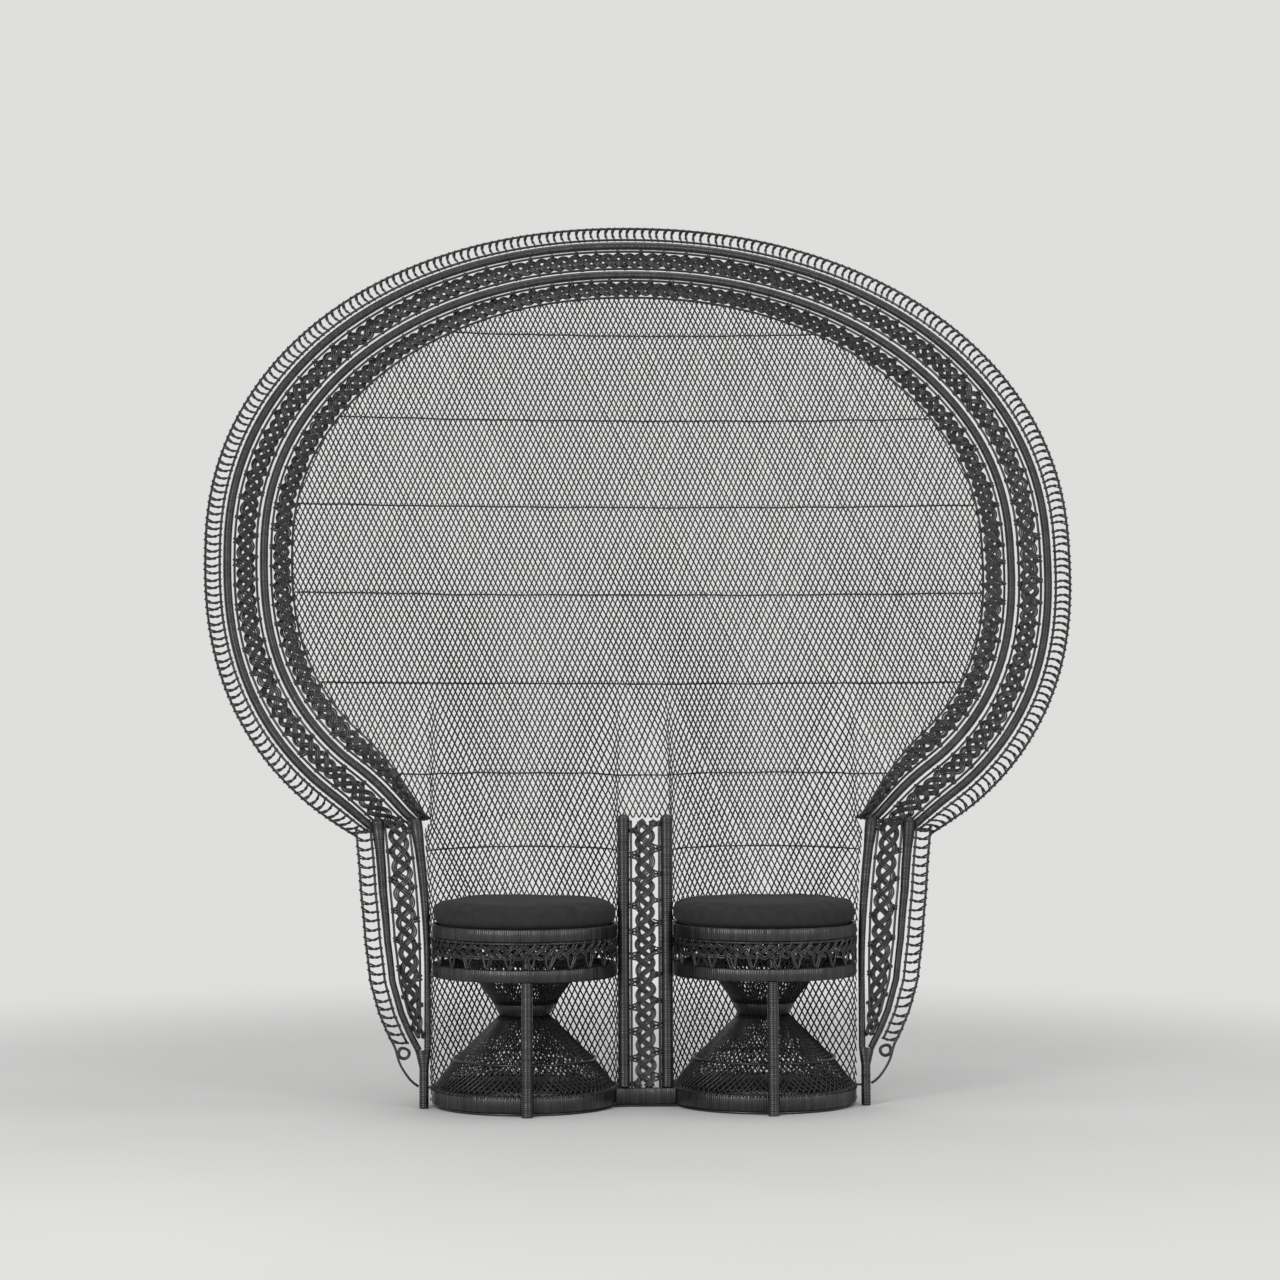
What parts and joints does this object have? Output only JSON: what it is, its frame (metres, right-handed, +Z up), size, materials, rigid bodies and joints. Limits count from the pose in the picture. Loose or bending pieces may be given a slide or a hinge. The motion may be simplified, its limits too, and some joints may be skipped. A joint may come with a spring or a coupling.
{
  "type": "peacock chair",
  "caption": "Double peacock chair: round woven fan back with plaited rim, two round seats on hourglass pedestals, loose cushions.",
  "frame": {"origin": "centre of the bottom of the bounding box, on the floor", "axes": "+Z up, +Y to the back, +X to the right as seen from the front"},
  "size_m": [2.0374, 0.7463, 2.0858],
  "materials": {
    "cane_wrap": "satin black lacquer over wrapped cane strip",
    "rattan_rod": "satin black lacquer over thin rattan",
    "plaited_cane": "satin black lacquer over plaited cane",
    "woven_strands": "satin black lacquer over thin cane strands",
    "cushion_fabric": "matt charcoal woven cloth"
  },
  "bodies": {
    "root": {"fan_outer_rod": "rattan_rod", "fan_fringe": "plaited_cane", "fan_rod_2": "rattan_rod", "fan_outer_hoop": "cane_wrap", "fan_rod_3": "rattan_rod", "fan_outer_braid": "plaited_cane", "fan_rod_4": "rattan_rod", "fan_inner_hoop": "cane_wrap", "fan_rod_5": "rattan_rod", "fan_inner_braid": "plaited_cane", "fan_rod_6": "rattan_rod", "woven_lobes": "woven_strands", "woven_fan": "woven_strands", "weaver_rows": "woven_strands", "skirt_left": "woven_strands", "skirt_right": "woven_strands", "arm_outer_rod_left": "rattan_rod", "arm_fringe_left": "plaited_cane", "arm_thin_rods_left": "rattan_rod", "arm_outer_post_left": "cane_wrap", "arm_braid_left": "plaited_cane", "arm_inner_post_left": "cane_wrap", "foot_left": "cane_wrap", "arm_outer_rod_right": "rattan_rod", "arm_fringe_right": "plaited_cane", "arm_thin_rods_right": "rattan_rod", "arm_outer_post_right": "cane_wrap", "arm_braid_right": "plaited_cane", "arm_inner_post_right": "cane_wrap", "foot_right": "cane_wrap", "column_post_left": "cane_wrap", "column_post_right": "cane_wrap", "column_rods": "rattan_rod", "column_braid": "plaited_cane", "base_bar": "cane_wrap", "floor_rods": "rattan_rod", "seat_hoop_upper_left": "cane_wrap", "seat_rod_left": "rattan_rod", "seat_braid_left": "plaited_cane", "seat_hoop_lower_left": "cane_wrap", "seat_deck_left": "woven_strands", "front_leg_left": "cane_wrap", "pedestal_upper_left": "woven_strands", "waist_ring_left": "cane_wrap", "pedestal_lower_left": "woven_strands", "knee_hoop_left": "rattan_rod", "base_ring_left": "cane_wrap", "seat_hoop_upper_right": "cane_wrap", "seat_rod_right": "rattan_rod", "seat_braid_right": "plaited_cane", "seat_hoop_lower_right": "cane_wrap", "seat_deck_right": "woven_strands", "front_leg_right": "cane_wrap", "pedestal_upper_right": "woven_strands", "waist_ring_right": "cane_wrap", "pedestal_lower_right": "woven_strands", "knee_hoop_right": "rattan_rod", "base_ring_right": "cane_wrap"},
    "cushion_left": {"cushion_left": "cushion_fabric"},
    "cushion_right": {"cushion_right": "cushion_fabric"}
  },
  "joints": [
    {"name": "cushion_left_lift", "type": "slide", "parent": "root", "child": "cushion_left", "axis": [0, 0, 1], "range_m": [0, 0.3]},
    {"name": "cushion_right_lift", "type": "slide", "parent": "root", "child": "cushion_right", "axis": [0, 0, 1], "range_m": [0, 0.3]}
  ]
}
